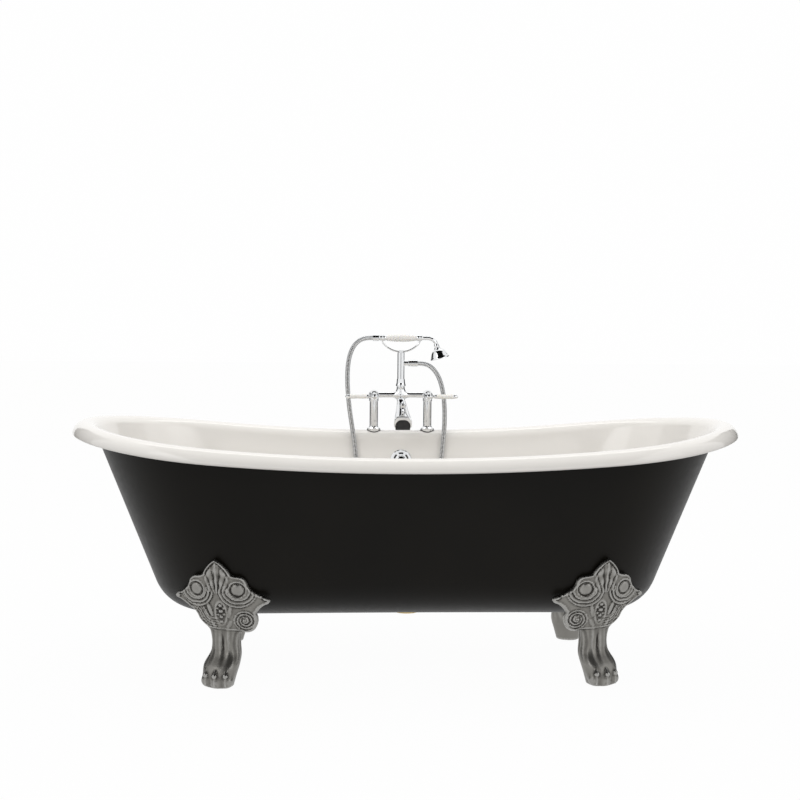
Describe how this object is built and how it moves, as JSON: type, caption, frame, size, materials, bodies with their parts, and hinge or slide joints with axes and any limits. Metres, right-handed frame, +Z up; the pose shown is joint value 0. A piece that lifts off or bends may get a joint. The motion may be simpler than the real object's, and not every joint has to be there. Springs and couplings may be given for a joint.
{
  "type": "clawfoot bathtub",
  "caption": "Double-ended cast-iron roll-top bath on ornate claw feet, with a deck-mounted bath and shower mixer, hand shower on a hose, overflow and lift-up waste.",
  "frame": {"origin": "on the floor under the middle of the tub", "axes": "+X along the tub's length, towards the end that the shower rose points to, +Y towards the rim that the mixer stands on, +Z up"},
  "size_m": [1.699, 0.7394, 0.8365],
  "materials": {
    "black_iron": "satin black paint",
    "enamel": "glossy white enamel",
    "pewter": "polished cast metal, darker in its recesses",
    "chrome": "mirror polished",
    "porcelain": "glossy white porcelain",
    "brass": "bare",
    "steel": "zinc plated",
    "rubber": "matt black",
    "hose_metal": "ribbed polished steel"
  },
  "bodies": {
    "tub": {"tub_casting": "black_iron", "enamel_lining": "enamel", "foot_front_right": "pewter", "foot_front_left": "pewter", "foot_back_right": "pewter", "foot_back_left": "pewter", "foot_bolts": "steel", "foot_washers": "steel", "foot_nuts": "steel", "overflow_faceplate": "chrome", "overflow_gasket": "rubber", "overflow_elbow": "brass", "overflow_pipe": "brass", "waste_flange": "chrome", "waste_gasket": "rubber", "waste_body": "brass", "mixer_leg_right": "chrome", "mixer_leg_left": "chrome", "leg_washers": "rubber", "leg_saddles": "brass", "leg_backnuts": "brass", "mixer_body": "chrome", "valve_cartridge_right": "brass", "valve_cartridge_left": "brass", "valve_bonnet_right": "chrome", "valve_bonnet_left": "chrome", "spout": "chrome", "riser": "chrome", "riser_collar": "chrome", "cradle": "chrome", "shower_hose": "hose_metal", "hose_nut_riser": "chrome"},
    "overflow_dial": {"overflow_knob": "chrome"},
    "plug": {"waste_plug": "chrome", "plug_seal": "rubber"},
    "lever_left_arm": {"lever_left": "chrome", "lever_grip_left": "porcelain", "lever_cap_left": "chrome"},
    "lever_right_arm": {"lever_right": "chrome", "lever_grip_right": "porcelain", "lever_cap_right": "chrome"},
    "diverter": {"diverter_knob": "chrome"},
    "hand_shower": {"handset_grip": "porcelain", "handset_tail": "chrome", "handset_neck": "chrome", "rose_bell": "chrome", "rose_face": "chrome", "hose_nut_handset": "chrome"}
  },
  "joints": [
    {"name": "knob_turn", "type": "hinge", "parent": "tub", "child": "overflow_dial", "pos_m": [0, 0.2924, 0.489], "axis": [0, -0.9744, 0.225], "range_deg": [0, 90]},
    {"name": "plug_lift", "type": "slide", "parent": "tub", "child": "plug", "axis": [0, 0, 1], "range_m": [0, 0.008]},
    {"name": "lever_left_turn", "type": "hinge", "parent": "tub", "child": "lever_left_arm", "pos_m": [-0.075, 0.29, 0.667], "axis": [0, 1, 0], "range_deg": [0, 90]},
    {"name": "lever_right_turn", "type": "hinge", "parent": "tub", "child": "lever_right_arm", "pos_m": [0.075, 0.29, 0.667], "axis": [0, -1, 0], "range_deg": [0, 90]},
    {"name": "diverter_lift", "type": "slide", "parent": "tub", "child": "diverter", "axis": [0, 0, 1], "range_m": [0, 0.01]},
    {"name": "hand_shower_lift", "type": "slide", "parent": "tub", "child": "hand_shower", "axis": [0, 0, 1], "range_m": [0, 0.15], "deforming": ["shower_hose"]}
  ],
  "couplings": [
    {"joint": "knob_turn", "follows": "plug_lift", "rad_per_m": 196.35}
  ]
}
